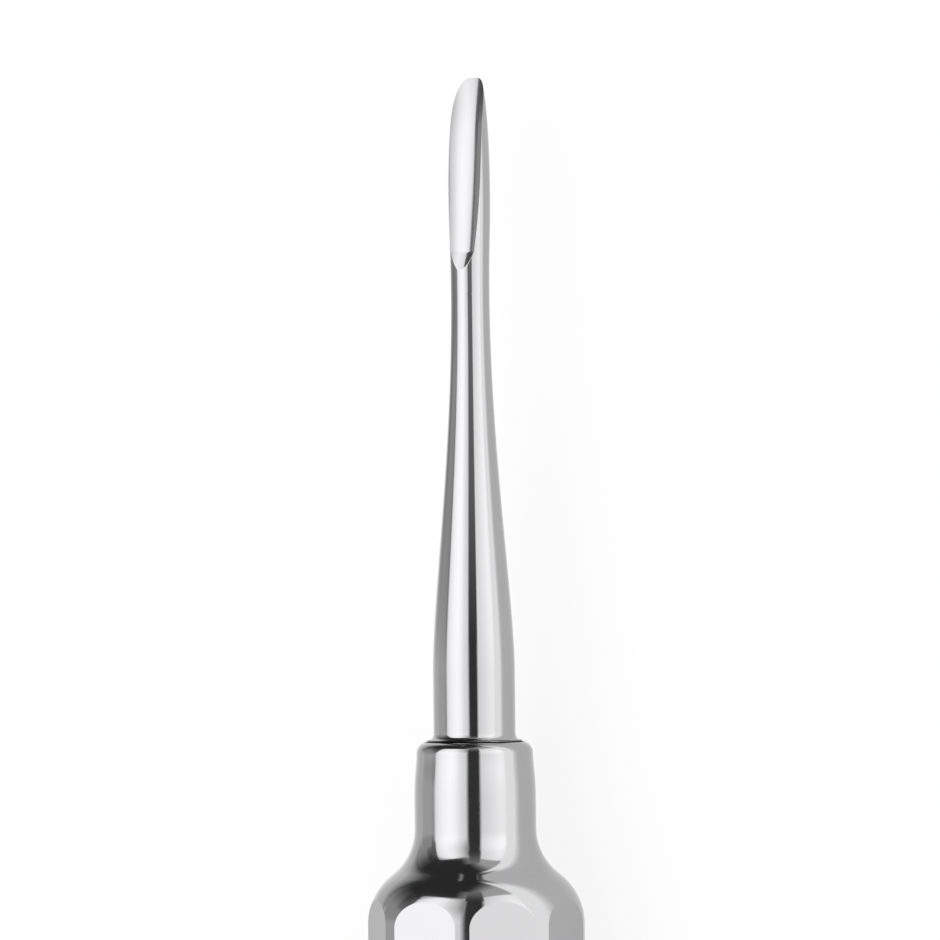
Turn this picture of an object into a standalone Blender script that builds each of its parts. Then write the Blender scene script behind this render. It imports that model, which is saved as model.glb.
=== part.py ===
"""Root elevator with a hollow steel handle, lying on one flat of its eight-sided grip.

The instrument is three pieces of stainless steel:
  working_end  gouge blade, waisted shank and tang, forged and ground in one piece
  handle       turned collar, bell and grip with eight ground flats, bored out from the butt
  end_cap      domed plug that closes the bore at the butt

Units are metres. Every piece is made standing on a common axis, +Z towards the tip, with station 0
at the mouth of the handle's collar. An empty then lays the instrument down along +Y.
"""

import math

import bpy
from mathutils import Vector
from mathutils.geometry import interpolate_bezier

# Working end: radii of the turned blank, and lengths along the axis from the collar's mouth
FOOT_RADIUS = 0.00359
FOOT_LENGTH = 0.0060
FOOT_FILLET = 0.0006
SHOULDER_RADIUS = 0.0043
SHOULDER_RIM = 0.00006
TAPER_LENGTH = 0.0332
FOOT_EASE = 0.0066
WAIST_EASE = 0.0140
WAIST_RADIUS = 0.00169
BLADE_LENGTH = 0.0189
BLADE_RADIUS = 0.00183
BLADE_EASE = 0.0044
NOSE_LENGTH = 0.0100
NOSE_ROUNDING = 0.0040
TIP_RADIUS = 0.00108
TIP_BULGE = 0.00034
TIP_ROUNDING = 0.0005

# Hollow ground into the blade's face by a spindle whose axis lies above the face, along the blade
HOLLOW_LENGTH = 0.0172
HOLLOW_AXIS_HEIGHT = 0.0046
HEEL_LENGTH = 0.0019
HEEL_DEPTH = 0.00073
HOLLOW_STRAIGHT = 0.0090
HOLLOW_STRAIGHT_DROP = 0.00100
HOLLOW_DIP = 0.0040
HOLLOW_DIP_DROP = 0.00165
TIP_THICKNESS = 0.0001

# Tang and its socket
TANG_RADIUS = 0.0026
TANG_LENGTH = 0.0220
TANG_CHAMFER = 0.0004
FIT_GAP = 0.0001
SOCKET_SPARE = 0.0010

# Collar and bell of the handle
COLLAR_LIP = 0.0010
COLLAR_MOUTH_RADIUS = 0.0051
COLLAR_RADIUS = 0.00532
COLLAR_SWELL = 0.0040
COLLAR_MOUTH_EASE = 0.0010
COLLAR_SIDE_EASE = 0.0020
COLLAR_LENGTH = 0.0076
FLARE_RADIUS = 0.0050
FLARE_ANGLE = math.radians(50.0)
BELL_RADIUS = 0.0055

# Grip, bore and butt
HANDLE_LENGTH = 0.1080
GRIP_RADIUS = 0.0095
ACROSS_FLATS = 0.0180
FLATS = 8
BORE_RADIUS = 0.0079
DRILL_POINT = math.radians(59.0)
DOME_LENGTH = 0.0080
CAP_RIM = 0.0020
SPIGOT_LENGTH = 0.0050
SPIGOT_CHAMFER = 0.0005

# Facets round the turned shapes, and along their profiles
SHANK_STEPS = 48
HOLLOW_STEPS = 160
GRIP_STEPS = 64
NOSE_FACETS = 16
SWELL_FACETS = 6
TAPER_FACETS = 22
FLOOR_FACETS = 20
LIP_FACETS = 5
SIDE_FACETS = 5
BEND_FACETS = 8
DOME_FACETS = 12
MERGE = 1e-6

# How far the cutters reach past what they cut
OVERRUN = 0.004
TIP_OVERRUN = 0.0005

# Stations that follow from the lengths
WAIST_STATION = FOOT_LENGTH + TAPER_LENGTH
TIP_STATION = WAIST_STATION + BLADE_LENGTH
TANG_STATION = FIT_GAP - TANG_LENGTH
SOCKET_STATION = TANG_STATION - SOCKET_SPARE
BUTT_STATION = -HANDLE_LENGTH
DOME_STATION = BUTT_STATION + DOME_LENGTH
CAP_STATION = DOME_STATION + CAP_RIM

STEEL_COLOUR = (0.41, 0.41, 0.42, 1.0)
SHANK_ROUGHNESS = 0.08
GRIP_ROUGHNESS = 0.14


def clear_scene():
    for obj in list(bpy.data.objects):
        bpy.data.objects.remove(obj)


def new_collection(name):
    collection = bpy.data.collections.new(name)
    bpy.context.scene.collection.children.link(collection)
    return collection


def steel(name, roughness):
    material = bpy.data.materials.new(name)
    material.use_nodes = True
    shader = material.node_tree.nodes["Principled BSDF"]
    shader.inputs["Base Color"].default_value = STEEL_COLOUR
    shader.inputs["Metallic"].default_value = 1.0
    shader.inputs["Roughness"].default_value = roughness
    return material


def arc(centre, radius, start, end, count):
    """Points on an arc in the (radius, station) plane, angles in radians from +radius towards +station."""
    points = []
    for i in range(count + 1):
        angle = start + (end - start) * i / count
        points.append((centre[0] + radius * math.cos(angle), centre[1] + radius * math.sin(angle)))
    return points


def bezier(start, start_handle, end_handle, end, count):
    """Points of one Bezier stretch in the (radius, station) plane."""
    knots = [Vector((radius, station, 0)) for radius, station in (start, start_handle, end_handle, end)]
    return [(p.x, p.y) for p in interpolate_bezier(*knots, count + 1)]


def ease(start, end, start_reach, end_reach, count):
    """A smooth stretch that leaves the start downwards along the axis and arrives the same way."""
    return bezier(start, (start[0], start[1] - start_reach), (end[0], end[1] + end_reach), end, count)


def without_repeats(profile):
    kept = [profile[0]]
    for point in profile[1:]:
        if math.dist(point, kept[-1]) > MERGE:
            kept.append(point)
    return kept


def turned(name, profile, steps, material, collection, ring=False):
    """A solid of revolution about Z. The profile runs down its outer side; a ring closes on itself."""
    profile = without_repeats(profile)
    mesh = bpy.data.meshes.new(name)
    edges = [(i, i + 1) for i in range(len(profile) - 1)]
    if ring:
        edges.append((len(profile) - 1, 0))
    mesh.from_pydata([(radius, 0, station) for radius, station in profile], edges, [])
    mesh.materials.append(material)
    obj = bpy.data.objects.new(name, mesh)
    collection.objects.link(obj)
    screw = obj.modifiers.new("Turn", "SCREW")
    screw.axis = "Z"
    screw.steps = steps
    screw.render_steps = steps
    screw.use_merge_vertices = True
    screw.merge_threshold = MERGE
    screw.use_smooth_shade = True
    return obj


def boolean(obj, cutter, operation):
    modifier = obj.modifiers.new(cutter.name, "BOOLEAN")
    modifier.operation = operation
    modifier.object = cutter


def make_helper(obj, collection):
    """Keeps a cutter out of the model."""
    for owner in list(obj.users_collection):
        owner.objects.unlink(obj)
    collection.objects.link(obj)
    obj.hide_render = True
    obj.display_type = "WIRE"
    return obj


def blade_blank_profile():
    """Outer side of the blade and shank, from the tip down to the foot."""
    nose_end = (BLADE_RADIUS, TIP_STATION - NOSE_LENGTH)
    nose = bezier(
        (TIP_RADIUS, TIP_STATION),
        (TIP_RADIUS + TIP_BULGE, TIP_STATION - TIP_ROUNDING),
        (BLADE_RADIUS, TIP_STATION - NOSE_ROUNDING),
        nose_end,
        NOSE_FACETS,
    )
    waist = (WAIST_RADIUS, WAIST_STATION)
    swell = ease(nose_end, waist, BLADE_EASE, BLADE_EASE, SWELL_FACETS)
    taper = ease(waist, (FOOT_RADIUS, FOOT_LENGTH), WAIST_EASE, FOOT_EASE, TAPER_FACETS)
    return nose + swell + taper


def working_end_profile():
    fillet_station = FIT_GAP + SHOULDER_RIM + FOOT_FILLET
    fillet_radius = FOOT_RADIUS + FOOT_FILLET
    fillet = arc((fillet_radius, fillet_station), FOOT_FILLET, math.pi, 1.5 * math.pi, LIP_FACETS)
    shoulder = [
        (SHOULDER_RADIUS, FIT_GAP + SHOULDER_RIM),
        (SHOULDER_RADIUS, FIT_GAP),
        (TANG_RADIUS, FIT_GAP),
    ]
    tang = [
        (TANG_RADIUS, TANG_STATION + TANG_CHAMFER),
        (TANG_RADIUS - TANG_CHAMFER, TANG_STATION),
        (0, TANG_STATION),
    ]
    return [(0, TIP_STATION)] + blade_blank_profile() + fillet + shoulder + tang


def hollow_profile():
    """Outer side of the grinding spindle: its distance to its own axis is least at the heel."""
    heel = (HOLLOW_AXIS_HEIGHT - BLADE_RADIUS, TIP_STATION - HOLLOW_LENGTH)
    ramp_top = (heel[0] + HEEL_DEPTH, heel[1] + HEEL_LENGTH)
    tip = (HOLLOW_AXIS_HEIGHT + TIP_RADIUS - TIP_THICKNESS, TIP_STATION)
    floor = bezier(
        tip,
        (tip[0] - HOLLOW_DIP_DROP, tip[1] - HOLLOW_DIP),
        (ramp_top[0] + HOLLOW_STRAIGHT_DROP, ramp_top[1] + HOLLOW_STRAIGHT),
        ramp_top,
        FLOOR_FACETS,
    )
    # Past the tip and past the heel the spindle goes on in a straight line, clear of the blade
    past_tip = extended(floor[1], tip, TIP_OVERRUN)
    past_heel = extended(ramp_top, heel, OVERRUN)
    return [(0, past_tip[1]), past_tip] + floor + [past_heel, (0, past_heel[1])]


def extended(before, last, length):
    """The point that lies a length along the axis beyond the last one, on the line from the one before."""
    share = length / abs(last[1] - before[1])
    return (last[0] + (last[0] - before[0]) * share, last[1] + (last[1] - before[1]) * share)


def hollow_cutter(material, collection):
    spindle = turned("hollow", hollow_profile(), HOLLOW_STEPS, material, collection)
    spindle.location = (0, -HOLLOW_AXIS_HEIGHT, 0)
    return make_helper(spindle, collection)


def working_end(model, cutters):
    material = steel("polished_blade_steel", SHANK_ROUGHNESS)
    obj = turned("working_end", working_end_profile(), SHANK_STEPS, material, model)
    boolean(obj, hollow_cutter(material, cutters), "DIFFERENCE")
    return obj


def handle_outer_profile():
    """Collar, flare and bell, from the edge of the mouth down to the full grip."""
    lip_centre = (COLLAR_MOUTH_RADIUS - COLLAR_LIP, -COLLAR_LIP)
    lip = arc(lip_centre, COLLAR_LIP, math.pi / 2, 0, LIP_FACETS)
    swell_end = (COLLAR_RADIUS, -COLLAR_LIP - COLLAR_SWELL)
    swell = ease(lip[-1], swell_end, COLLAR_MOUTH_EASE, COLLAR_SIDE_EASE, SIDE_FACETS)
    flare_centre = (COLLAR_RADIUS + FLARE_RADIUS, -COLLAR_LENGTH)
    flare = arc(flare_centre, FLARE_RADIUS, math.pi, math.pi + FLARE_ANGLE, BEND_FACETS)
    bell_rise = BELL_RADIUS * (1 - math.cos(FLARE_ANGLE))
    straight_rise = GRIP_RADIUS - bell_rise - flare[-1][0]
    bell_top = flare[-1][1] - straight_rise / math.tan(FLARE_ANGLE)
    bell_centre = (GRIP_RADIUS - BELL_RADIUS, bell_top - BELL_RADIUS * math.sin(FLARE_ANGLE))
    bell = arc(bell_centre, BELL_RADIUS, FLARE_ANGLE, 0, BEND_FACETS)
    return lip + swell + flare + bell


def handle_profile():
    socket_radius = TANG_RADIUS + FIT_GAP
    cone = (BORE_RADIUS - socket_radius) / math.tan(DRILL_POINT)
    inside = [
        (GRIP_RADIUS, CAP_STATION),
        (BORE_RADIUS, CAP_STATION),
        (BORE_RADIUS, SOCKET_STATION - cone),
        (socket_radius, SOCKET_STATION),
        (socket_radius, 0),
    ]
    return handle_outer_profile() + inside


def flats_prism(name, low, high, material, collection):
    """Eight-sided bar with a flat facing straight up and down, which the turned handle is ground to."""
    corner_radius = ACROSS_FLATS / 2 / math.cos(math.pi / FLATS)
    bpy.ops.mesh.primitive_cylinder_add(
        vertices=FLATS,
        radius=corner_radius,
        depth=high - low,
        location=(0, 0, (high + low) / 2),
        rotation=(0, 0, math.pi / FLATS),
    )
    prism = bpy.context.object
    prism.name = name
    prism.data.materials.append(material)
    return make_helper(prism, collection)


def handle(model, cutters):
    material = steel("polished_handle_steel", GRIP_ROUGHNESS)
    obj = turned("handle", handle_profile(), GRIP_STEPS, material, model, ring=True)
    prism = flats_prism("grip_flats", CAP_STATION - OVERRUN, OVERRUN, material, cutters)
    boolean(obj, prism, "INTERSECT")
    return obj


def end_cap_profile():
    spigot_radius = BORE_RADIUS - FIT_GAP
    rim_station = CAP_STATION - FIT_GAP
    spigot_top = rim_station + SPIGOT_LENGTH
    spigot = [
        (0, spigot_top),
        (spigot_radius - SPIGOT_CHAMFER, spigot_top),
        (spigot_radius, spigot_top - SPIGOT_CHAMFER),
        (spigot_radius, rim_station),
        (GRIP_RADIUS, rim_station),
    ]
    dome = []
    for i in range(DOME_FACETS + 1):
        angle = math.pi / 2 * i / DOME_FACETS
        dome.append((GRIP_RADIUS * math.cos(angle), DOME_STATION - DOME_LENGTH * math.sin(angle)))
    return spigot + dome


def end_cap(model, cutters):
    material = steel("polished_cap_steel", GRIP_ROUGHNESS)
    obj = turned("end_cap", end_cap_profile(), GRIP_STEPS, material, model)
    top = CAP_STATION + SPIGOT_LENGTH + OVERRUN
    prism = flats_prism("cap_flats", BUTT_STATION - OVERRUN, top, material, cutters)
    boolean(obj, prism, "INTERSECT")
    return obj


def lay_down(pieces, collection):
    """Tip towards +Y, bottom flat on the ground, origin under the middle of the length."""
    axis = bpy.data.objects.new("instrument_axis", None)
    collection.objects.link(axis)
    axis.rotation_euler = (-math.pi / 2, 0, 0)
    axis.location = (0, -(TIP_STATION + BUTT_STATION) / 2, ACROSS_FLATS / 2)
    for piece in pieces:
        piece.parent = axis


def main():
    clear_scene()
    model = new_collection("root_elevator")
    cutters = new_collection("cutters")
    pieces = [working_end(model, cutters), handle(model, cutters), end_cap(model, cutters)]
    lay_down(pieces + list(cutters.objects), model)


main()
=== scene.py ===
"""Root elevator in polished stainless steel, lying on a pale floor under two soft boxes.

Three pieces are modelled here in fine mesh, each in the place of the plain solid it stands for:
the working end with its ground hollow, the handle, and the cap that closes the handle's butt.
Units are metres. The instrument lies along Y with its tip at +Y; stations run along it from the
mouth of the handle's collar, positive towards the tip.
"""

import math

import bmesh
import bpy
from mathutils import Matrix, Vector
from mathutils.geometry import interpolate_bezier


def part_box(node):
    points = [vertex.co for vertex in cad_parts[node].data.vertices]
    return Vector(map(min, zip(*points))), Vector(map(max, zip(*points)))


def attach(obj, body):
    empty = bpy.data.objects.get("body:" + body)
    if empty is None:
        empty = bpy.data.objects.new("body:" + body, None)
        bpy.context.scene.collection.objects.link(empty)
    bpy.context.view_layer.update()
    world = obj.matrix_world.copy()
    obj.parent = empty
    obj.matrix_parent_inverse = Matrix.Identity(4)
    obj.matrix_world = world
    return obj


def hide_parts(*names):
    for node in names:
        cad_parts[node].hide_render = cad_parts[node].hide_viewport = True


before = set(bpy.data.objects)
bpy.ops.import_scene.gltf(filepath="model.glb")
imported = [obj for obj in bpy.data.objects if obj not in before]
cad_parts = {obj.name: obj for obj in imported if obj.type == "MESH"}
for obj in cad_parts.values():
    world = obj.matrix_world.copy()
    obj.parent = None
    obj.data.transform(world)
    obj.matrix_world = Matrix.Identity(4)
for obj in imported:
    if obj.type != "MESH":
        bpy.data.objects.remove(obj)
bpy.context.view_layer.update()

# Places that follow from the frame
END_LOW, END_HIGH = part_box("working_end")
HANDLE_LOW, HANDLE_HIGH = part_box("handle")
CAP_LOW, CAP_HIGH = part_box("end_cap")
AXIS_HEIGHT = (HANDLE_LOW[2] + HANDLE_HIGH[2]) / 2
MOUTH_Y = HANDLE_HIGH[1]
ACROSS_FLATS = HANDLE_HIGH[2] - HANDLE_LOW[2]
TIP_STATION = END_HIGH[1] - MOUTH_Y
TANG_STATION = END_LOW[1] - MOUTH_Y
CAP_STATION = HANDLE_LOW[1] - MOUTH_Y
BUTT_STATION = CAP_LOW[1] - MOUTH_Y
SPIGOT_STATION = CAP_HIGH[1] - MOUTH_Y

# Working end
FOOT_RADIUS = 0.00359
FOOT_LENGTH = 0.0060
FOOT_FILLET = 0.0006
SHOULDER_RADIUS = 0.00421
SHOULDER_RIM = 0.00006
FOOT_EASE = 0.0066
WAIST_EASE = 0.0140
WAIST_RADIUS = 0.00169
BLADE_LENGTH = 0.0189
BLADE_RADIUS = 0.00183
BLADE_EASE = 0.0044
NOSE_LENGTH = 0.0100
NOSE_ROUNDING = 0.0040
TIP_RADIUS = 0.00108
TIP_BULGE = 0.00034
TIP_ROUNDING = 0.0005
TANG_RADIUS = 0.0026
TANG_CHAMFER = 0.0004
SOCKET_SPARE = 0.0010

# Fine gaps: between fitted pieces, and under the foot's shoulder at the collar's mouth
FIT_GAP = 0.0001
SEAM_GAP = 0.00004

# Hollow of the blade: the spindle that grinds it turns on an axis above the face
HOLLOW_LENGTH = 0.0172
HOLLOW_AXIS_HEIGHT = 0.0046
HEEL_LENGTH = 0.0019
HEEL_DEPTH = 0.00073
HOLLOW_STRAIGHT = 0.0090
HOLLOW_STRAIGHT_DROP = 0.00100
HOLLOW_DIP = 0.0040
HOLLOW_DIP_DROP = 0.00165
TIP_THICKNESS = 0.0001

# Handle and cap
COLLAR_LIP = 0.0010
COLLAR_MOUTH_RADIUS = 0.0051
COLLAR_RADIUS = 0.00532
COLLAR_SWELL = 0.0040
COLLAR_MOUTH_EASE = 0.0010
COLLAR_SIDE_EASE = 0.0020
COLLAR_LENGTH = 0.0076
FLARE_RADIUS = 0.0050
FLARE_ANGLE = math.radians(50.0)
BELL_RADIUS = 0.0055
GRIP_RADIUS = 0.0095
FLATS = 8
BORE_RADIUS = 0.0079
DRILL_POINT = math.radians(59.0)
DOME_LENGTH = 0.0080
SPIGOT_CHAMFER = 0.0005

# Edges that buffing has rounded
RIM_ROUNDING = 0.00003
FLAT_EDGE = 0.00012
SEAM_EDGE = 0.00008

# The seam's crease, painted dark as its shade: the least slope of its faces, and how far it reaches along
# the instrument
CREASE_SLOPE = math.radians(68.0)
CREASE_REACH = 0.0010

# Mesh fineness: columns run round a piece, rings and steps run along it
BLADE_COLUMNS = 176
HANDLE_COLUMNS = 192
NOSE_RINGS = 100
SWELL_RINGS = 140
TAPER_RINGS = 120
FOOT_RINGS = 16
FILLET_RINGS = 12
FLOOR_STEPS = 400
LIP_RINGS = 14
SIDE_RINGS = 16
BEND_RINGS = 28
DOME_RINGS = 48
EDGE_SEGMENTS = 2
# Where the rim closes up, the blade's columns still keep this angle for it
CLOSED_RIM = math.radians(14.0)
# Below the heel the columns spread evenly again over this length
WARP_RUN = 0.0080
# Edges that turn by more than this are shaded sharp
SHARP_ANGLE = math.radians(42.0)
# How a flat is told from the turned facets: more corners, facing sideways, and a turn at its edges
FACET_CORNERS = 8
SIDEWAYS = 0.5
FLAT_ANGLE = math.radians(4.0)
# Lengths below this count as nothing
SMALL = 1e-7

WAIST_STATION = TIP_STATION - BLADE_LENGTH
HEEL_STATION = TIP_STATION - HOLLOW_LENGTH


def bezier(start, start_handle, end_handle, end, count):
    """Points of one Bezier stretch in the (radius, station) plane."""
    knots = [Vector((radius, station, 0)) for radius, station in (start, start_handle, end_handle, end)]
    return [(p.x, p.y) for p in interpolate_bezier(*knots, count + 1)]


def ease(start, end, start_reach, end_reach, count):
    """A smooth stretch that leaves the start downwards along the axis and arrives the same way."""
    return bezier(start, (start[0], start[1] - start_reach), (end[0], end[1] + end_reach), end, count)


def arc(centre, radius, start, end, count):
    """Points on an arc in the (radius, station) plane, angles from +radius towards +station."""
    angles = [start + (end - start) * i / count for i in range(count + 1)]
    return [(centre[0] + radius * math.cos(a), centre[1] + radius * math.sin(a)) for a in angles]


def line(start, end, count):
    """Points on a straight stretch, without its end."""
    return [
        (start[0] + (end[0] - start[0]) * i / count, start[1] + (end[1] - start[1]) * i / count)
        for i in range(count)
    ]


def spun(profile, columns, closed=False):
    """A solid turned about the instrument's axis from (radius, station) points, tip end first."""
    bm = bmesh.new()
    verts = [bm.verts.new((radius, MOUTH_Y + station, AXIS_HEIGHT)) for radius, station in profile]
    edges = [bm.edges.new(pair) for pair in zip(verts, verts[1:])]
    if closed:
        edges.append(bm.edges.new((verts[-1], verts[0])))
    bmesh.ops.spin(
        bm,
        geom=verts + edges,
        cent=(0, 0, AXIS_HEIGHT),
        axis=(0, 1, 0),
        angle=math.tau,
        steps=columns,
        use_merge=True,
    )
    bmesh.ops.remove_doubles(bm, verts=bm.verts, dist=SMALL)
    bmesh.ops.recalc_face_normals(bm, faces=bm.faces)
    return bm


def finished(bm, name, materials, node):
    """Puts a bmesh in the scene as a piece that replaces a node."""
    mesh = bpy.data.meshes.new(name)
    for face in bm.faces:
        face.smooth = True
    bm.to_mesh(mesh)
    bm.free()
    mesh.set_sharp_from_angle(angle=SHARP_ANGLE)
    for material in materials:
        mesh.materials.append(material)
    piece = bpy.data.objects.new(name, mesh)
    bpy.context.scene.collection.objects.link(piece)
    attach(piece, "root")
    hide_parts(node)
    return piece


# Working end

def blank_profile():
    """The turned blank of the blade, shank and tang, before the hollow is ground."""
    nose_end = (BLADE_RADIUS, TIP_STATION - NOSE_LENGTH)
    nose = bezier(
        (TIP_RADIUS, TIP_STATION),
        (TIP_RADIUS + TIP_BULGE, TIP_STATION - TIP_ROUNDING),
        (BLADE_RADIUS, TIP_STATION - NOSE_ROUNDING),
        nose_end,
        NOSE_RINGS,
    )
    swell = ease(nose_end, (WAIST_RADIUS, WAIST_STATION), BLADE_EASE, BLADE_EASE, SWELL_RINGS)
    taper = ease(swell[-1], (FOOT_RADIUS, FOOT_LENGTH), WAIST_EASE, FOOT_EASE, TAPER_RINGS)
    fillet_station = SEAM_GAP + SHOULDER_RIM + FOOT_FILLET
    fillet_centre = (FOOT_RADIUS + FOOT_FILLET, fillet_station)
    fillet = arc(fillet_centre, FOOT_FILLET, math.pi, 1.5 * math.pi, FILLET_RINGS)
    foot = line(taper[-1], fillet[0], FOOT_RINGS)
    tang = [
        (SHOULDER_RADIUS, SEAM_GAP + SHOULDER_RIM / 2),
        (SHOULDER_RADIUS - SHOULDER_RIM, SEAM_GAP),
        (TANG_RADIUS, SEAM_GAP),
        (TANG_RADIUS, TANG_STATION + TANG_CHAMFER),
        (TANG_RADIUS - TANG_CHAMFER, TANG_STATION),
        (0, TANG_STATION),
    ]
    return [(0, TIP_STATION)] + nose + swell[1:] + taper[1:-1] + foot + fillet + tang


def hollow_floor():
    """The spindle's radius along the hollow, from the tip to the heel."""
    heel = (HOLLOW_AXIS_HEIGHT - BLADE_RADIUS, HEEL_STATION)
    ramp_top = (heel[0] + HEEL_DEPTH, heel[1] + HEEL_LENGTH)
    tip = (HOLLOW_AXIS_HEIGHT + TIP_RADIUS - TIP_THICKNESS, TIP_STATION)
    floor = bezier(
        tip,
        (tip[0] - HOLLOW_DIP_DROP, tip[1] - HOLLOW_DIP),
        (ramp_top[0] + HOLLOW_STRAIGHT_DROP, ramp_top[1] + HOLLOW_STRAIGHT),
        ramp_top,
        FLOOR_STEPS,
    )
    return floor + [heel]


def radius_at(profile, station):
    """The radius where a profile that runs down from the tip passes a station, or None outside it."""
    for (high_radius, high), (low_radius, low) in zip(profile, profile[1:]):
        if high >= station >= low:
            return high_radius + (low_radius - high_radius) * (high - station) / (high - low)
    return None


def distance_to_circle(origin, direction, centre, radius):
    """How far a ray in the cross-section runs to a circle: its near and far crossing, or None."""
    offset = origin - centre
    half = offset.dot(direction)
    root = half * half - offset.length_squared + radius * radius
    if root < 0:
        return None
    return (-half - math.sqrt(root), -half + math.sqrt(root))


def column_angles(rim_angle):
    """Angles of half a ring's columns from the face's middle, close together where the rim runs."""
    across = BLADE_COLUMNS // 4
    around = BLADE_COLUMNS // 2 - across
    half = [rim_angle * math.sin(math.pi / 2 * i / across) for i in range(across)]
    rest = math.pi - rim_angle
    half += [rim_angle + rest * (1 - math.cos(math.pi / 2 * i / around)) for i in range(around)]
    half.append(math.pi)
    return half


def rings_by_station(bm):
    """The mesh's vertices in rings, one ring for each place along the instrument."""
    rings = {}
    for vert in bm.verts:
        rings.setdefault(round((vert.co.y - MOUTH_Y) / SMALL), []).append(vert)
    return rings.values()


def grind_ring(verts, spindle, warp):
    """Moves one ring of the blank to the spindle's surface wherever the spindle cuts into it."""
    back = max(math.hypot(v.co.x, v.co.z - AXIS_HEIGHT) for v in verts)
    floor_height = min(HOLLOW_AXIS_HEIGHT - spindle, back)
    middle = Vector((0, (floor_height - back) / 2))
    cosine = back * back + HOLLOW_AXIS_HEIGHT**2 - spindle * spindle
    cosine /= 2 * back * HOLLOW_AXIS_HEIGHT
    rim = math.acos(max(-1.0, min(1.0, cosine)))
    rim_point = Vector((back * math.sin(rim), back * math.cos(rim))) - middle
    columns = column_angles(max(math.atan2(rim_point.x, rim_point.y), CLOSED_RIM))
    for vert in verts:
        x = vert.co.x
        z = vert.co.z - AXIS_HEIGHT
        if math.hypot(x, z) < SMALL:
            vert.co.z = AXIS_HEIGHT + middle.y
            continue
        even = math.atan2(x, z)
        column = round(abs(even) / math.pi * (BLADE_COLUMNS // 2))
        angle = even + (math.copysign(columns[column], even) - even) * warp
        direction = Vector((math.sin(angle), math.cos(angle)))
        reach = distance_to_circle(middle, direction, Vector((0, 0)), back)[1]
        crossing = distance_to_circle(middle, direction, Vector((0, HOLLOW_AXIS_HEIGHT)), spindle)
        if crossing and crossing[0] > 0:
            # The lesser of the two reaches, eased where they are nearly equal, so the rim is rounded
            blend = max(RIM_ROUNDING - abs(reach - crossing[0]), 0) / RIM_ROUNDING
            reach = min(reach, crossing[0]) - blend * blend * RIM_ROUNDING / 4
        place = middle + direction * reach
        vert.co.x = place.x
        vert.co.z = AXIS_HEIGHT + place.y


def grind_hollow(bm):
    """Grinds the hollow. Its columns go back to even spacing over a stretch below the heel."""
    floor = hollow_floor()
    for verts in rings_by_station(bm):
        station = verts[0].co.y - MOUTH_Y
        share = (station - HEEL_STATION + WARP_RUN) / WARP_RUN
        share = max(0.0, min(1.0, share))
        if share == 0:
            continue
        spindle = radius_at(floor, station) or floor[-1][0]
        grind_ring(verts, spindle, share * share * (3 - 2 * share))


def dull_crease(bm, material_index):
    """Gives the seam's steep faces, tang and socket the dark material that paints the seam's shade."""
    socket_reach = TANG_RADIUS + 2 * FIT_GAP
    for face in bm.faces:
        centre = face.calc_center_median()
        from_axis = math.hypot(centre.x, centre.z - AXIS_HEIGHT)
        steep = abs(face.normal.y) > math.sin(CREASE_SLOPE)
        if (steep or from_axis < socket_reach) and abs(centre.y - MOUTH_Y) < CREASE_REACH:
            face.material_index = material_index


def build_working_end(polished, ground, dull):
    """Blade, shank, foot and tang in one piece, with the ground steel where the spindle has cut."""
    materials = [polished, ground, dull]
    bm = spun(blank_profile(), BLADE_COLUMNS)
    grind_hollow(bm)
    bmesh.ops.recalc_face_normals(bm, faces=bm.faces)
    floor = hollow_floor()
    for face in bm.faces:
        centre = face.calc_center_median()
        station = centre.y - MOUTH_Y
        if station < HEEL_STATION:
            continue
        spindle = radius_at(floor, station)
        if spindle is None:
            continue
        from_axis = math.hypot(centre.x, centre.z - AXIS_HEIGHT - HOLLOW_AXIS_HEIGHT)
        if abs(from_axis - spindle) < RIM_ROUNDING / 2 and face.normal.z > 0:
            face.material_index = materials.index(ground)
    # The seam's crease takes the dark material, a painted shade
    dull_crease(bm, materials.index(dull))
    finished(bm, "polished_working_end", materials, "working_end")


# Handle and cap

def handle_profile():
    """The turned handle as a closed outline: lip, collar, flare, bell, butt, bore and socket."""
    lip_centre = (COLLAR_MOUTH_RADIUS - COLLAR_LIP, -COLLAR_LIP)
    lip = arc(lip_centre, COLLAR_LIP, math.pi / 2, 0, LIP_RINGS)
    swell_end = (COLLAR_RADIUS, -COLLAR_LIP - COLLAR_SWELL)
    swell = ease(lip[-1], swell_end, COLLAR_MOUTH_EASE, COLLAR_SIDE_EASE, SIDE_RINGS)
    flare_centre = (COLLAR_RADIUS + FLARE_RADIUS, -COLLAR_LENGTH)
    flare = arc(flare_centre, FLARE_RADIUS, math.pi, math.pi + FLARE_ANGLE, BEND_RINGS)
    bell_rise = BELL_RADIUS * (1 - math.cos(FLARE_ANGLE))
    straight_rise = GRIP_RADIUS - bell_rise - flare[-1][0]
    bell_top = flare[-1][1] - straight_rise / math.tan(FLARE_ANGLE)
    bell_centre = (GRIP_RADIUS - BELL_RADIUS, bell_top - BELL_RADIUS * math.sin(FLARE_ANGLE))
    bell = arc(bell_centre, BELL_RADIUS, FLARE_ANGLE, 0, BEND_RINGS)
    socket_radius = TANG_RADIUS + FIT_GAP
    socket_station = TANG_STATION - SOCKET_SPARE
    cone = (BORE_RADIUS - socket_radius) / math.tan(DRILL_POINT)
    butt = [
        (GRIP_RADIUS, CAP_STATION + SEAM_EDGE),
        (GRIP_RADIUS - SEAM_EDGE, CAP_STATION),
        (BORE_RADIUS, CAP_STATION),
        (BORE_RADIUS, socket_station - cone),
        (socket_radius, socket_station),
        (socket_radius, 0),
    ]
    return lip + swell[1:] + flare + bell + butt


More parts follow.
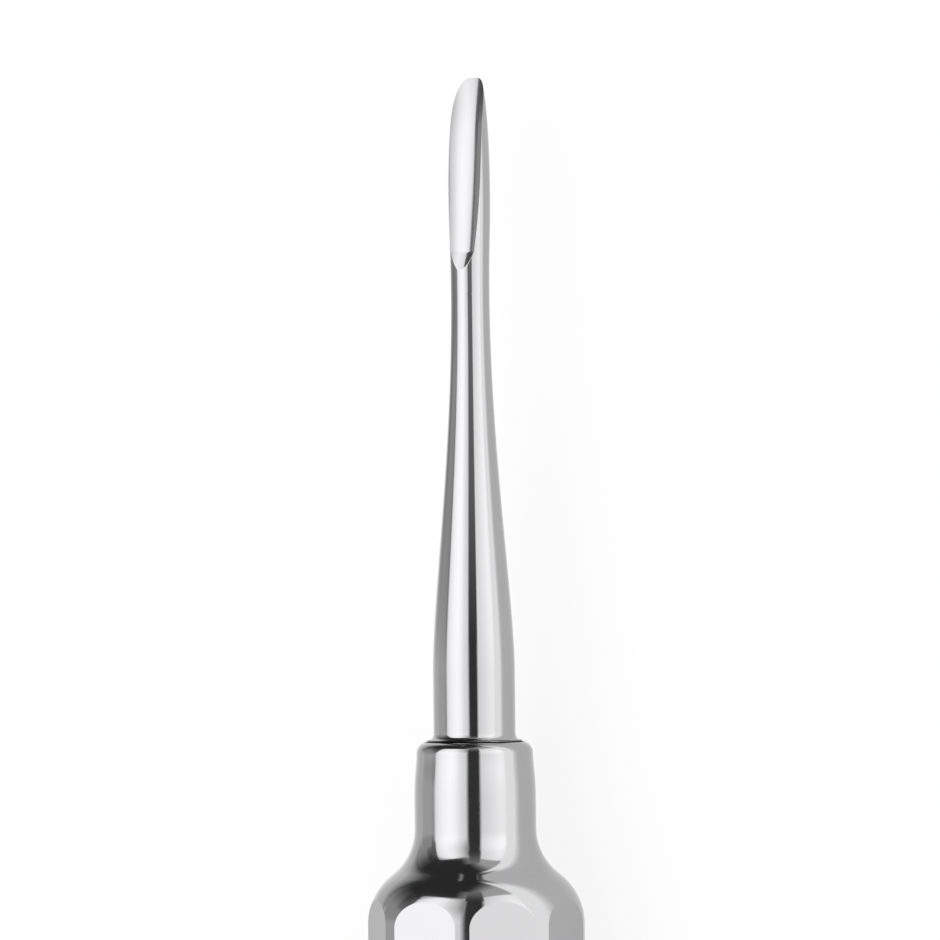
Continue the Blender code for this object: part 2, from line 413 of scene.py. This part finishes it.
def grind_flats(bm):
    """Cuts the eight flats and rounds their edges as buffing does."""
    flat_distance = ACROSS_FLATS / 2
    for i in range(FLATS):
        angle = math.tau * i / FLATS
        outwards = Vector((math.sin(angle), 0, math.cos(angle)))
        cut = bmesh.ops.bisect_plane(
            bm,
            geom=bm.verts[:] + bm.edges[:] + bm.faces[:],
            dist=SMALL,
            plane_co=Vector((0, 0, AXIS_HEIGHT)) + outwards * flat_distance,
            plane_no=outwards,
            clear_outer=True,
        )
        rim = [item for item in cut["geom_cut"] if isinstance(item, bmesh.types.BMEdge)]
        bmesh.ops.edgeloop_fill(bm, edges=rim)
    bmesh.ops.recalc_face_normals(bm, faces=bm.faces)
    flats = [
        face for face in bm.faces if len(face.verts) > FACET_CORNERS and abs(face.normal.y) < SIDEWAYS
    ]
    # Each edge once, in the faces' order
    edges = dict.fromkeys(
        edge for face in flats for edge in face.edges if edge.calc_face_angle(0) > FLAT_ANGLE
    )
    bmesh.ops.bevel(
        bm,
        geom=list(edges),
        offset=FLAT_EDGE,
        offset_type="OFFSET",
        affect="EDGES",
        segments=EDGE_SEGMENTS,
        profile=0.5,
        material=-1,
        clamp_overlap=True,
    )


def weigh_normals(piece):
    """Keeps the flats' shading flat up to their rounded edges."""
    modifier = piece.modifiers.new("Flat shading", "WEIGHTED_NORMAL")
    modifier.keep_sharp = True


def build_handle(polished, dull):
    """Collar, bell and grip in one piece, hollow inside, with its eight flats."""
    materials = [polished, dull]
    bm = spun(handle_profile(), HANDLE_COLUMNS, closed=True)
    grind_flats(bm)
    # The lip's crease takes the dark material, a painted shade
    dull_crease(bm, materials.index(dull))
    weigh_normals(finished(bm, "polished_handle", materials, "handle"))


def cap_profile():
    """The turned cap: the spigot that plugs the bore, then the dome down to the butt."""
    rim_station = CAP_STATION - FIT_GAP
    dome_station = BUTT_STATION + DOME_LENGTH
    spigot_radius = BORE_RADIUS - FIT_GAP
    spigot = [
        (0, SPIGOT_STATION),
        (spigot_radius - SPIGOT_CHAMFER, SPIGOT_STATION),
        (spigot_radius, SPIGOT_STATION - SPIGOT_CHAMFER),
        (spigot_radius, rim_station),
        (GRIP_RADIUS - SEAM_EDGE, rim_station),
        (GRIP_RADIUS, rim_station - SEAM_EDGE),
    ]
    angles = [math.pi / 2 * i / DOME_RINGS for i in range(DOME_RINGS)]
    dome = [(GRIP_RADIUS * math.cos(a), dome_station - DOME_LENGTH * math.sin(a)) for a in angles]
    return spigot + dome + [(0, BUTT_STATION)]


def build_cap(polished):
    """The domed cap, whose flats run on from the handle's."""
    bm = spun(cap_profile(), HANDLE_COLUMNS)
    grind_flats(bm)
    weigh_normals(finished(bm, "polished_end_cap", [polished], "end_cap"))


# Materials

# Stainless steel reflects a nearly neutral grey, and the seam's crease two dark ones that paint its shade
STEEL = "#A8A8A9"
PICKLED_DARK = "#202022"
PICKLED_LIGHT = "#343438"
# The buffing wheel's clouds are about 3 mm across, and the grain of the seam's painted shade about 0.1 mm
CLOUDS_PER_METRE = 330.0
PICKLED_GRAINS_PER_METRE = 10000.0
# Grain times clouding mostly lies between these, and the roughness is spread over that range
MARKS_LOW = 0.1
MARKS_HIGH = 0.45
# The Mix node's colour sockets share their names with its number sockets, so they go by position
MIX_FIRST = 6
MIX_SECOND = 7
MIX_RESULT = 2


def linear(hex_colour):
    """An sRGB hex colour as linear RGBA."""
    channels = [int(hex_colour[i:i + 2], 16) / 255 for i in (1, 3, 5)]
    return [c / 12.92 if c <= 0.04045 else ((c + 0.055) / 1.055) ** 2.4 for c in channels] + [1.0]


def add_node(tree, kind, inputs=None, **settings):
    """Adds a node. settings are its properties, inputs its sockets' values or what is linked to them."""
    node = tree.nodes.new(kind)
    for name, value in settings.items():
        setattr(node, name, value)
    for name, value in (inputs or {}).items():
        if isinstance(value, bpy.types.NodeSocket):
            tree.links.new(value, node.inputs[name])
        else:
            node.inputs[name].default_value = value
    return node


def new_material(name):
    """An empty material and its node tree."""
    material = bpy.data.materials.new(name)
    material.use_nodes = True
    material.node_tree.nodes.clear()
    return material, material.node_tree


def stainless(name, grain_mm, smooth, dull, bump_um):
    """Polished stainless steel. grain_mm is the marks' spacing in X, Y and Z, and bump_um their depth.

    smooth and dull are the roughness between the marks and in them.
    """
    material, tree = new_material(name)
    place = add_node(tree, "ShaderNodeTexCoord")
    scale = [1000 / spacing for spacing in grain_mm]
    grain_place = add_node(
        tree,
        "ShaderNodeMapping",
        {"Vector": place.outputs["Object"], "Scale": scale},
    )
    grain = add_node(
        tree,
        "ShaderNodeTexNoise",
        {"Vector": grain_place.outputs["Vector"], "Scale": 1.0, "Detail": 3.0},
    )
    # Broad, soft clouding from the buffing wheel
    clouding = add_node(
        tree,
        "ShaderNodeTexNoise",
        {"Vector": place.outputs["Object"], "Scale": CLOUDS_PER_METRE, "Detail": 2.0},
    )
    both = add_node(
        tree,
        "ShaderNodeMath",
        {0: grain.outputs["Fac"], 1: clouding.outputs["Fac"]},
        operation="MULTIPLY",
    )
    roughness = add_node(
        tree,
        "ShaderNodeMapRange",
        {
            "Value": both.outputs["Value"],
            "From Min": MARKS_LOW,
            "From Max": MARKS_HIGH,
            "To Min": smooth,
            "To Max": dull,
        },
    )
    bump = add_node(
        tree,
        "ShaderNodeBump",
        {"Height": grain.outputs["Fac"], "Distance": bump_um * 1e-6, "Strength": 1.0},
    )
    steel = add_node(
        tree,
        "ShaderNodeBsdfPrincipled",
        {
            "Base Color": linear(STEEL),
            "Metallic": 1.0,
            "Roughness": roughness.outputs["Result"],
            "Normal": bump.outputs["Normal"],
        },
    )
    add_node(tree, "ShaderNodeOutputMaterial", {"Surface": steel.outputs["BSDF"]})
    return material


def mirror_polished_blade_steel():
    """Martensitic stainless steel, forged, ground and mirror-buffed lengthwise.

    It gives the eye crisp reflections with hairlines along the blade and shank.
    """
    return stainless(
        "mirror_polished_stainless_steel",
        grain_mm=(0.12, 4.0, 0.12),
        smooth=0.05,
        dull=0.10,
        bump_um=0.12,
    )


def hollow_ground_steel():
    """The same steel where a fine wheel ground the hollow.

    It gives the eye lengthwise lines and reflections a touch softer than the shank's.
    """
    return stainless(
        "hollow_ground_stainless_steel",
        grain_mm=(0.09, 6.0, 0.09),
        smooth=0.08,
        dull=0.16,
        bump_um=0.25,
    )


def dull_steel():
    """Dark steel in the seam's crease: a painted shade for the dark ring there, with a random grain.

    It gives the eye a dark ring without shine.
    """
    material, tree = new_material("painted_shade_dark_steel")
    place = add_node(tree, "ShaderNodeTexCoord")
    grain = add_node(
        tree,
        "ShaderNodeTexNoise",
        {"Vector": place.outputs["Object"], "Scale": PICKLED_GRAINS_PER_METRE, "Detail": 2.0},
    )
    # Two dark tones mixed by the grain: the seam's painted shade
    tone = add_node(
        tree,
        "ShaderNodeMix",
        {
            "Factor": grain.outputs["Fac"],
            MIX_FIRST: linear(PICKLED_DARK),
            MIX_SECOND: linear(PICKLED_LIGHT),
        },
        data_type="RGBA",
    )
    steel = add_node(
        tree,
        "ShaderNodeBsdfPrincipled",
        {"Base Color": tone.outputs[MIX_RESULT], "Metallic": 1.0, "Roughness": 0.45},
    )
    add_node(tree, "ShaderNodeOutputMaterial", {"Surface": steel.outputs["BSDF"]})
    return material


def polished_handle_steel():
    """Austenitic stainless steel, turned and buffed.

    It gives the eye clear reflections with crosswise marks round the collar and over the flats.
    """
    return stainless(
        "polished_stainless_steel_handle",
        grain_mm=(5.0, 0.10, 5.0),
        smooth=0.06,
        dull=0.12,
        bump_um=0.12,
    )


# Studio

# The floor lies a hair below the handle's flat, and glows by these shares where it is seen or mirrored
FLOOR_SIZE = 8.0
FLOOR_DROP = 0.00002
FLOOR_COLOUR = "#DADADA"
FLOOR_GLOW_SEEN = 0.85
FLOOR_GLOW_MIRRORED = 0.66
# The room's even light, which the metal mirrors wherever no box or card stands
ROOM_LIGHT = 0.78

# The camera: its angle off vertical, its lens and sensor in millimetres, and the picture's size and scale
CAMERA_SIDE = math.radians(30.0)
CAMERA_LENS = 400.0
SENSOR = 36.0
PHOTO_SIZE = 940
METRES_PER_PIXEL = 0.0000875
# Where the photo shows the middle of the collar's mouth, and how far the axis leans there
MOUTH_COLUMN = 474.6
MOUTH_ROW = 741.5
LEAN = math.radians(0.56)

# Soft boxes: angle off vertical in degrees, positive to +X, and the radiance there
LEFT_BOX = (
    (-53, 1.50),
    (-46, 1.95),
    (-34, 2.25),
    (-18, 2.42),
    (-9, 2.28),
    (1, 1.85),
    (10, 1.60),
    (18, 1.50),
)
RIGHT_BOX = ((38, 1.45), (46, 1.60), (60, 1.80), (80, 2.08), (90.5, 1.95))
# Place on Y in metres, and the factor there on what a box adds to the room's light
LEFT_BOX_ALONG = ((-0.68, 1.0), (0.02, 1.0), (0.15, 1.07), (0.25, 1.06), (0.40, 0.95), (0.75, 0.85))
RIGHT_BOX_ALONG = ((-0.68, 1.0), (0.02, 1.0), (0.20, 1.25), (0.35, 1.25), (0.50, 1.08), (0.95, 0.90))
# A trace of blue in the left box and of pink in the right one, as in the photo's highlights
LEFT_BOX_COLOUR = (0.985, 0.98, 1.0)
RIGHT_BOX_COLOUR = (1.0, 0.985, 0.99)
BOX_DISTANCE = 0.6

# Cards that the metal mirrors. Tones are places in metres and the radiance there. Covers are places and
# how much a card hides there of what lies behind it, from nothing at 0 to all at 1.
WHOLE = ((0, 1), (1, 1))
BLACK = ((0, 0.05), (1, 0.05))
# The dark gap between the soft boxes, where the lens looks through: tones on X
LENS_SIDE = math.radians(28.0)
LENS_TONES = ((0.145, 1.5), (0.205, 0.07), (0.425, 0.07), (0.485, 1.45))
# Close over the slim shank, in front of that gap: tones and cover on Y
SHANK_TONES = ((0.036, 0.07), (0.044, 0.15), (0.051, 0.24), (0.060, 0.29), (0.072, 0.32))
SHANK_COVER = ((0.035, 0), (0.037, 1), (0.0672, 1), (0.0685, 0))
# Beyond the tip, upright at two distances and flat on the floor: covers on X
END_COVER = ((-0.05, 1), (0.30, 0))
LOW_END_COVER = ((0.02, 1), (0.12, 0))
FLOOR_END_COVER = ((0.0, 1), (0.05, 0))
# Low at the left, darker beyond the tip: tones on Y, and the band card's cover on Z
SIDE_TONES = ((0.04, ROOM_LIGHT), (0.10, 0.58), (0.24, 0.54), (0.34, 0.34), (0.42, 0.19), (0.56, 0.06))
BAND_TONES = ((0.20, 0.55), (0.235, 0.34), (0.30, 0.25), (0.36, 0.16), (0.44, 0.08))
BAND_COVER = ((0.151, 0), (0.20, 1))
# Close beside the waist at the left: tones on Z, cover on Y
WAIST_TONES = (
    (0.0044, 0.70),
    (0.0070, 0.60),
    (0.0087, 0.50),
    (0.0104, 0.38),
    (0.0122, 0.40),
    (0.0144, 0.55),
)
WAIST_COVER = ((0.0565, 0), (0.0620, 1), (0.0675, 1), (0.0700, 0))
# A low strip that keeps the far floor out of the flare's left side: tones and cover on Y
SKIRT_TONES = ((0.036, 0.58), (0.055, 0.54), (0.073, 0.34), (0.088, 0.19), (0.113, 0.06))
SKIRT_COVER = ((0.036, 0), (0.050, 1))
# Along the lower edge of the left soft box: tones on Y, and the blade card's cover on Y
BLADE_TONES = ((0.12, 0.32), (0.26, 0.24), (0.42, 0.16), (0.50, 0.06))
BLADE_COVER = ((0.125, 0), (0.20, 1))
EDGE_TONES = ((0.024, 0.66), (0.028, ROOM_LIGHT), (0.06, 0.60), (0.11, 0.46), (0.16, 0.28), (0.29, 0.10))
# In front of the left soft box, beyond the tip: tones on X, cover on Y
SHADE_TONES = ((-0.24, 2.2), (-0.12, 2.0), (-0.04, 1.6), (0.05, 1.2), (0.15, 0.5))
SHADE_COVER = ((0.12, 0), (0.38, 1))
# Boards on the floor beside the instrument, grey at the left and white at the right: covers on X
LEFT_BOARD_TONES = ((0.031, 0.86), (0.038, 0.66), (0.053, 0.42), (0.068, 0.25), (0.085, 0.12), (0.30, 0.06))
LEFT_BOARD_COVER = ((-0.30, 0), (-0.12, 1), (-0.030, 1), (-0.018, 0))
BOUNCE_TONES = ((0, 1.8), (1, 1.8))
BOUNCE_COVER = ((0.020, 0), (0.034, 1))
BOARD_LIFT = 0.00005


def floor_material():
    """Matt white paper sweep: reads white to the eye and in the metal, and keeps a soft shadow."""
    material, tree = new_material("white_paper_sweep")
    paper = add_node(tree, "ShaderNodeBsdfDiffuse", {"Color": linear(FLOOR_COLOUR)})
    glow = add_node(tree, "ShaderNodeEmission", {"Color": (1, 1, 1, 1), "Strength": 1.0})
    rays = add_node(tree, "ShaderNodeLightPath")
    seen = add_node(
        tree,
        "ShaderNodeMath",
        {0: rays.outputs["Is Camera Ray"], 1: rays.outputs["Is Transmission Ray"]},
        operation="ADD",
    )
    seen_share = add_node(
        tree,
        "ShaderNodeMath",
        {0: seen.outputs["Value"], 1: FLOOR_GLOW_SEEN},
        operation="MULTIPLY",
    )
    share = add_node(
        tree,
        "ShaderNodeMath",
        {0: rays.outputs["Is Glossy Ray"], 1: FLOOR_GLOW_MIRRORED, 2: seen_share.outputs["Value"]},
        operation="MULTIPLY_ADD",
        use_clamp=True,
    )
    mix = add_node(
        tree,
        "ShaderNodeMixShader",
        {"Fac": share.outputs["Value"], 1: paper.outputs["BSDF"], 2: glow.outputs["Emission"]},
    )
    add_node(tree, "ShaderNodeOutputMaterial", {"Surface": mix.outputs["Shader"]})
    return material


def flat_card(name, width, height, placement, material):
    """A flat studio card of its size, a metre square at first, made in its own place."""
    bm = bmesh.new()
    bmesh.ops.create_grid(bm, x_segments=1, y_segments=1, size=0.5)
    sizing = Matrix.Diagonal((width, height, 1, 1))
    bmesh.ops.transform(bm, matrix=placement @ sizing, verts=bm.verts)
    mesh = bpy.data.meshes.new(name)
    bm.to_mesh(mesh)
    bm.free()
    mesh.materials.append(material)
    card = bpy.data.objects.new(name, mesh)
    bpy.context.scene.collection.objects.link(card)
    return card


def reflected_card(name, width, height, placement, material):
    """A card that only the metal mirrors. The picture doesn't show it, and it lights and shades nothing."""
    card = flat_card(name, width, height, placement, material)
    card.visible_camera = False
    card.visible_diffuse = False
    card.visible_shadow = False


def around_axis(angle, distance, along=0.0):
    """Placement that faces the Y axis at a distance, from an angle off vertical, positive to +X."""
    turn = Matrix.Rotation(angle, 4, "Y")
    return turn @ Matrix.Translation((0, along, distance))


def across_the_end(x, y, z):
    """Placement upright, facing along Y."""
    return Matrix.Translation((x, y, z)) @ Matrix.Rotation(math.radians(90), 4, "X")


def beside(x, y, z):
    """Placement upright, facing along X, with the card's width standing on Z."""
    return Matrix.Translation((x, y, z)) @ Matrix.Rotation(math.radians(90), 4, "Y")


def toned_ramp(tree, place, stops):
    """A ramp along a place, from pairs of place and value in order: the share of the peak, and the peak."""
    low = stops[0][0]
    high = stops[-1][0]
    along = add_node(
        tree,
        "ShaderNodeMapRange",
        {"Value": place, "From Min": low, "From Max": high},
        clamp=True,
    )
    peak = max(value for _, value in stops)
    ramp = add_node(tree, "ShaderNodeValToRGB", {"Fac": along.outputs["Result"]})
    marks = ramp.color_ramp.elements
    for where, _ in stops[1:-1]:
        marks.new((where - low) / (high - low))
    for mark, (_, value) in zip(marks, stops):
        mark.color = [value / peak] * 3 + [1]
    return ramp.outputs["Color"], peak


def card_material(name, tones, tone_axis, cover=WHOLE, cover_axis="Y"):
    """A graduated studio card, whose tones follow one axis and whose cover follows one too."""
    material, tree = new_material(name)
    place = add_node(tree, "ShaderNodeTexCoord")
    parts = add_node(tree, "ShaderNodeSeparateXYZ", {"Vector": place.outputs["Object"]})
    colour, strength = toned_ramp(tree, parts.outputs[tone_axis], tones)
    tone = add_node(tree, "ShaderNodeEmission", {"Color": colour, "Strength": strength})
    whole = toned_ramp(tree, parts.outputs[cover_axis], cover)[0]
    nothing = add_node(tree, "ShaderNodeBsdfTransparent")
    mix = add_node(
        tree,
        "ShaderNodeMixShader",
        {"Fac": whole, 1: nothing.outputs["BSDF"], 2: tone.outputs["Emission"]},
    )
    add_node(tree, "ShaderNodeOutputMaterial", {"Surface": mix.outputs["Shader"]})
    return material


def soft_box(name, across, along, colour):
    """A rectangular soft box. across gives angles and radiances, along gives places on Y and factors.

    The room shows through a soft box, so the box itself adds what is left of each tone.
    """
    low = math.radians(across[0][0])
    high = math.radians(across[-1][0])
    middle = (low + high) / 2
    half_width = BOX_DISTANCE * math.tan((high - low) / 2)
    start = along[0][0]
    length = along[-1][0] - start
    lamp = bpy.data.lights.new(name, "AREA")
    lamp.shape = "RECTANGLE"
    lamp.size = 2 * half_width
    lamp.size_y = length
    lamp.color = colour
    lamp.use_nodes = True
    tree = lamp.node_tree
    place = add_node(tree, "ShaderNodeNewGeometry")
    parts = add_node(tree, "ShaderNodeSeparateXYZ", {"Vector": place.outputs["Parametric"]})
    # Places on the lamp's own face run from 0 to 1
    stops = []
    for angle, tone in across:
        place_x = 0.5 + BOX_DISTANCE * math.tan(math.radians(angle) - middle) / (2 * half_width)
        stops.append((place_x, tone - ROOM_LIGHT))
    tones, peak = toned_ramp(tree, parts.outputs["X"], stops)
    stops = [((place_y - start) / length, factor) for place_y, factor in along]
    factors, most = toned_ramp(tree, parts.outputs["Y"], stops)
    both = add_node(tree, "ShaderNodeVectorMath", {0: tones, 1: factors}, operation="MULTIPLY")
    tree.links.new(both.outputs["Vector"], tree.nodes["Emission"].inputs["Color"])
    # The power at which the lamp's face reaches its highest radiance
    lamp.energy = peak * most * math.pi * lamp.size * lamp.size_y
    box = bpy.data.objects.new(name, lamp)
    box.matrix_world = around_axis(middle, BOX_DISTANCE, start + length / 2)
    box.visible_camera = False
    bpy.context.scene.collection.objects.link(box)


def build_dark_gap():
    """The dark line that the round metal shows between the soft boxes, greyer on the slim shank."""
    reflected_card(
        "lens_card",
        width=0.36,
        height=2.0,
        placement=around_axis(LENS_SIDE, distance=0.66),
        material=card_material("graduated_dark_felt", LENS_TONES, "X"),
    )
    over_the_shank = around_axis(LENS_SIDE, distance=0.030, along=0.052)
    reflected_card(
        "shank_card",
        width=0.0120,
        height=0.036,
        placement=Matrix.Translation((0, 0, AXIS_HEIGHT)) @ over_the_shank,
        material=card_material("graduated_shank_card", SHANK_TONES, "Y", SHANK_COVER),
    )


def build_end_cards():
    """The black beyond the tip, which the flare of the handle mirrors."""
    reflected_card(
        "end_card",
        width=1.9,
        height=0.64,
        placement=across_the_end(x=-0.45, y=0.86, z=0.32),
        material=card_material("graduated_black_card", BLACK, "X", END_COVER, "X"),
    )
    reflected_card(
        "low_end_card",
        width=0.55,
        height=0.19,
        placement=across_the_end(x=-0.13, y=MOUTH_Y + 0.42, z=0.095),
        material=card_material("low_graduated_black_card", BLACK, "X", LOW_END_COVER, "X"),
    )
    reflected_card(
        "floor_end_card",
        width=0.44,
        height=0.33,
        placement=Matrix.Translation((-0.16, MOUTH_Y + 0.255, 2 * BOARD_LIFT)),
        material=card_material("graduated_black_floor_card", BLACK, "X", FLOOR_END_COVER, "X"),
    )


def build_left_cards():
    """The greys at the left and in front of the left soft box, which the metal mirrors in bands."""
    reflected_card(
        "side_card",
        width=0.40,
        height=2.0,
        placement=around_axis(math.radians(-74), distance=0.55),
        material=card_material("graduated_side_card", SIDE_TONES, "Y"),
    )
    reflected_card(
        "band_card",
        width=0.154,
        height=0.30,
        placement=around_axis(math.radians(-66), distance=0.545, along=0.35),
        material=card_material("graduated_band_card", BAND_TONES, "Y", BAND_COVER, "Z"),
    )
    reflected_card(
        "waist_card",
        width=0.0113,
        height=0.018,
        placement=beside(x=-0.008, y=0.064, z=0.01005),
        material=card_material("graduated_grey_card", WAIST_TONES, "Z", WAIST_COVER),
    )
    reflected_card(
        "skirt_card",
        width=0.016,
        height=0.124,
        placement=beside(x=-0.10, y=0.098, z=0.008),
        material=card_material("graduated_skirt_card", SKIRT_TONES, "Y", SKIRT_COVER),
    )
    reflected_card(
        "blade_card",
        width=0.088,
        height=0.95,
        placement=around_axis(math.radians(-55.3), distance=0.53, along=0.60),
        material=card_material("graduated_blade_card", BLADE_TONES, "Y", BLADE_COVER),
    )
    reflected_card(
        "edge_card",
        width=0.066,
        height=2.0,
        placement=around_axis(math.radians(-56.5), distance=0.54),
        material=card_material("graduated_edge_card", EDGE_TONES, "Y"),
    )
    reflected_card(
        "shade_card",
        width=0.40,
        height=0.60,
        placement=around_axis(math.radians(-5), distance=0.56, along=0.39),
        material=card_material("graduated_shade_card", SHADE_TONES, "X", SHADE_COVER),
    )


def build_boards():
    """The boards on the floor, which the metal mirrors along its lower edges."""
    reflected_card(
        "left_board",
        width=0.40,
        height=1.6,
        placement=Matrix.Translation((-0.215, 0.0, BOARD_LIFT)),
        material=card_material("grey_board", LEFT_BOARD_TONES, "Y", LEFT_BOARD_COVER, "X"),
    )
    reflected_card(
        "bounce_board",
        width=0.60,
        height=1.6,
        placement=Matrix.Translation((0.32, 0.1, BOARD_LIFT)),
        material=card_material("white_bounce_board", BOUNCE_TONES, "X", BOUNCE_COVER, "X"),
    )


def build_studio():
    """Floor, cards, soft boxes and the plain light of the room."""
    floor_place = Matrix.Translation((0, 0, -FLOOR_DROP))
    flat_card("floor", FLOOR_SIZE, FLOOR_SIZE, floor_place, floor_material())
    build_dark_gap()
    build_end_cards()
    build_left_cards()
    build_boards()
    soft_box("left_soft_box", LEFT_BOX, LEFT_BOX_ALONG, LEFT_BOX_COLOUR)
    soft_box("right_soft_box", RIGHT_BOX, RIGHT_BOX_ALONG, RIGHT_BOX_COLOUR)
    world = bpy.data.worlds.new("studio")
    world.use_nodes = True
    background = world.node_tree.nodes["Background"]
    background.inputs["Color"].default_value = (1, 1, 1, 1)
    background.inputs["Strength"].default_value = ROOM_LIGHT
    bpy.context.scene.world = world


def build_camera():
    """Looks down on the instrument from 30 degrees to the right of the hollow's face, tip up."""
    right = Vector((math.cos(CAMERA_SIDE), 0, -math.sin(CAMERA_SIDE)))
    up = Vector((0, 1, 0))
    view_right = right * math.cos(LEAN) - up * math.sin(LEAN)
    view_up = right * math.sin(LEAN) + up * math.cos(LEAN)
    view_back = view_right.cross(view_up)
    # The picture's middle lies this many columns and rows from the middle of the collar's mouth
    columns = PHOTO_SIZE / 2 - MOUTH_COLUMN
    rows = MOUTH_ROW - PHOTO_SIZE / 2
    mouth = Vector((0, MOUTH_Y, AXIS_HEIGHT))
    centre = mouth + view_right * columns * METRES_PER_PIXEL + view_up * rows * METRES_PER_PIXEL
    distance = PHOTO_SIZE * METRES_PER_PIXEL * CAMERA_LENS / SENSOR
    data = bpy.data.cameras.new("camera")
    data.lens = CAMERA_LENS
    data.sensor_width = SENSOR
    camera = bpy.data.objects.new("camera", data)
    axes = Matrix((view_right, view_up, view_back)).transposed().to_4x4()
    camera.matrix_world = Matrix.Translation(centre + view_back * distance) @ axes
    bpy.context.scene.collection.objects.link(camera)
    bpy.context.scene.camera = camera


# The seam's dark material paints the shade in its crease
seam_steel = dull_steel()
build_working_end(mirror_polished_blade_steel(), hollow_ground_steel(), seam_steel)
handle_steel = polished_handle_steel()
build_handle(handle_steel, seam_steel)
build_cap(handle_steel)
build_studio()
build_camera()
bpy.context.scene.view_settings.view_transform = "Standard"
